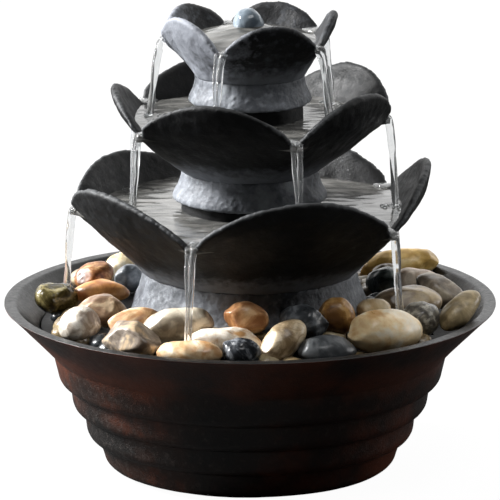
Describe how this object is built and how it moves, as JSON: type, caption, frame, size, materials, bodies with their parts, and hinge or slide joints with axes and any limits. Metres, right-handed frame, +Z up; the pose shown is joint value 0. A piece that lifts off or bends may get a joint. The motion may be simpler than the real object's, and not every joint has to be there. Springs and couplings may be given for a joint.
{
  "type": "tabletop water fountain",
  "caption": "Tabletop fountain: a stepped round basin with river pebbles under a tower of petal dishes that pour into each other, fed by a hidden pump.",
  "frame": {"origin": "middle of the underside, on the surface that the feet stand on", "axes": "+Z up along the tower, -Y to the front, +Y to the cord hole at the back, +X to the right"},
  "size_m": [0.2606, 0.2606, 0.2465],
  "materials": {
    "basin_resin": "dark brown painted resin, satin",
    "cast_slate": "dark cast resin slate, matt",
    "cast_rough": "silver-grey rough cast resin",
    "deck_plastic": "moulded, matt",
    "pump_plastic": "moulded ABS, satin",
    "wheel_plastic": "moulded acetal",
    "soft_rubber": "moulded rubber",
    "clear_vinyl": "clear vinyl tube",
    "core_steel": "stamped laminations",
    "magnet_ferrite": "sintered ferrite",
    "shaft_ceramic": "ground ceramic",
    "coil_copper": "enamelled copper wire",
    "water": "clear running water, in the visual model only",
    "pebbles_warm": "river pebbles, tumbled smooth",
    "pebbles_pale": "river pebbles, tumbled smooth",
    "pebbles_dark": "river pebbles, tumbled smooth",
    "pebbles_brown": "river pebbles, tumbled smooth"
  },
  "bodies": {
    "root": {"basin": "basin_resin", "rubber_feet": "soft_rubber", "cord_grommet": "soft_rubber", "riser_tube": "clear_vinyl", "pump_housing": "pump_plastic", "pump_back_cap": "pump_plastic", "pump_cord_gland": "soft_rubber", "pump_stator_core": "core_steel", "coil_bobbin": "wheel_plastic", "pump_coil": "coil_copper", "impeller_shaft": "shaft_ceramic", "front_shaft_bush": "soft_rubber", "rear_shaft_bush": "soft_rubber", "volute_cover": "pump_plastic", "volute_o_ring": "soft_rubber", "suction_cups": "soft_rubber"},
    "deck": {"stone_deck": "deck_plastic", "back_pebbles": "pebbles_brown", "pebble_olive_wet": "pebbles_brown", "pebble_rust": "pebbles_warm", "pebble_orange_long": "pebbles_warm", "pebble_cream_back": "pebbles_pale", "pebble_bluegrey": "pebbles_dark", "pebble_brown_lumpy": "pebbles_brown", "pebble_white_lobed": "pebbles_pale", "pebble_cream_left": "pebbles_warm", "pebble_long_grey": "pebbles_pale", "pebble_grey_lumpy": "pebbles_brown", "pebble_white_front": "pebbles_pale", "pebble_cream_front": "pebbles_warm", "pebble_charcoal": "pebbles_dark", "pebble_peach": "pebbles_warm", "pebble_wedge": "pebbles_brown", "pebble_facet": "pebbles_dark", "pebble_orange_brown": "pebbles_warm", "pebble_dark_oval": "pebbles_dark", "pebble_big_cream": "pebbles_pale", "pebble_small_cream": "pebbles_pale", "pebble_green_black": "pebbles_dark", "pebble_brown_oval": "pebbles_brown", "pebble_pinkish": "pebbles_pale", "pebble_grey_brown": "pebbles_brown", "pebble_quartz": "pebbles_dark", "pebble_tan_long": "pebbles_brown", "pebble_ochre_back": "pebbles_warm"},
    "bottom_tier": {"bottom_dish": "cast_slate", "bottom_pedestal": "cast_rough", "bottom_tube_bush": "soft_rubber"},
    "middle_tier": {"middle_dish": "cast_slate", "middle_pedestal": "cast_rough", "middle_tube_bush": "soft_rubber"},
    "top_tier": {"top_dish": "cast_slate", "top_pedestal": "cast_rough", "outlet_nozzle": "pump_plastic", "nozzle_seal": "soft_rubber"},
    "impeller": {"rotor_magnet": "magnet_ferrite", "impeller_wheel": "wheel_plastic"},
    "strainer": {"strainer_cover": "pump_plastic"},
    "dial": {"flow_dial": "pump_plastic"}
  },
  "joints": [
    {"name": "deck_lift", "type": "slide", "parent": "root", "child": "deck", "axis": [0, 0, 1], "range_m": [0, 0.14]},
    {"name": "bottom_tier_lift", "type": "slide", "parent": "deck", "child": "bottom_tier", "axis": [0, 0, 1], "range_m": [0, 0.13]},
    {"name": "middle_tier_lift", "type": "slide", "parent": "bottom_tier", "child": "middle_tier", "axis": [0, 0, 1], "range_m": [0, 0.07]},
    {"name": "top_tier_lift", "type": "slide", "parent": "middle_tier", "child": "top_tier", "axis": [0, 0, 1], "range_m": [0, 0.04]},
    {"name": "impeller_spin", "type": "hinge", "parent": "root", "child": "impeller", "pos_m": [0, 0, 0.03], "axis": [0, -1, 0], "continuous": true},
    {"name": "strainer_slide", "type": "slide", "parent": "root", "child": "strainer", "axis": [0, -1, 0], "range_m": [0, 0.03]},
    {"name": "flow_dial_turn", "type": "hinge", "parent": "strainer", "child": "dial", "pos_m": [0, -0.023, 0.03], "axis": [0, -1, 0], "range_deg": [0, 90]}
  ]
}
